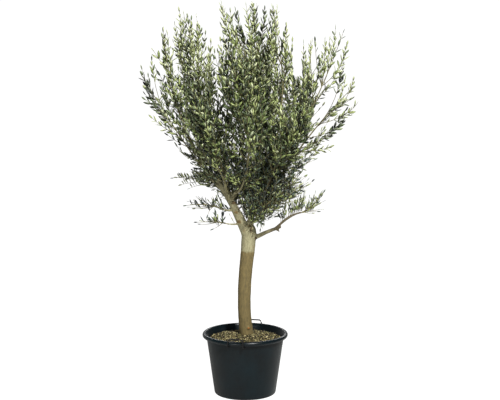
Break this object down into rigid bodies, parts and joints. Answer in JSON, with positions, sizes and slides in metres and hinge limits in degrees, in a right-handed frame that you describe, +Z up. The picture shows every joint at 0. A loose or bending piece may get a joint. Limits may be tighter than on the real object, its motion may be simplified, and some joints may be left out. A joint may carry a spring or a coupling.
{
  "type": "potted olive tree",
  "caption": "Young olive tree with a leaning trunk, forked boughs and an open rounded crown of narrow grey-green leaves, in a round black nursery pot with wire handles.",
  "frame": {"origin": "centre of the flat underside of the pot", "axes": "+Z up along the trunk, +X towards the side of the long low bough, +Y towards the back handle's side"},
  "size_m": [1.0598, 0.8694, 1.9886],
  "materials": {
    "pot_plastic": "injection moulded black polypropylene, satin, with a faint grey bloom",
    "handle_wire": "black coated steel wire",
    "potting_mix": "loose brown potting mix with bark chips",
    "trunk_bark": "smooth to finely fissured tan and grey bark",
    "bough_bark": "smooth grey-green bark",
    "olive_foliage": "narrow leathery leaves, grey-green above and silvery below, on thin green twigs"
  },
  "bodies": {
    "root": {"pot": "pot_plastic", "handle_front": "handle_wire", "handle_back": "handle_wire", "soil": "potting_mix", "trunk": "trunk_bark", "bough_left": "bough_bark", "bough_middle": "bough_bark", "bough_low_right": "bough_bark", "bough_low_right_outer": "bough_bark", "bough_left_inner": "bough_bark", "bough_right": "bough_bark", "bough_right_front": "bough_bark", "bough_back": "bough_bark", "bough_back_right": "bough_bark", "bough_top_right": "bough_bark", "bough_upper_right": "bough_bark", "bough_right_low": "bough_bark", "bough_low_front_right": "bough_bark", "bough_low_back": "bough_bark", "bough_front_left": "bough_bark", "bough_back_left": "bough_bark", "bough_front": "bough_bark", "bough_left_top": "bough_bark", "bough_low_back_left": "bough_bark", "bough_left_low": "bough_bark", "bough_low_left": "bough_bark", "bough_low_front_left": "bough_bark", "bough_hanging_left": "bough_bark", "foliage_left": "olive_foliage", "foliage_left_inner": "olive_foliage", "foliage_middle": "olive_foliage", "foliage_low_right_outer": "olive_foliage", "foliage_right": "olive_foliage", "foliage_right_front": "olive_foliage", "foliage_back": "olive_foliage", "foliage_back_right": "olive_foliage", "foliage_top_right": "olive_foliage", "foliage_upper_right": "olive_foliage", "foliage_right_low": "olive_foliage", "foliage_low_front_right": "olive_foliage", "foliage_low_back": "olive_foliage", "foliage_front_left": "olive_foliage", "foliage_back_left": "olive_foliage", "foliage_front": "olive_foliage", "foliage_left_top": "olive_foliage", "foliage_low_back_left": "olive_foliage", "foliage_left_low": "olive_foliage", "foliage_low_left": "olive_foliage", "foliage_low_front_left": "olive_foliage", "foliage_hanging_left": "olive_foliage"}
  },
  "joints": []
}
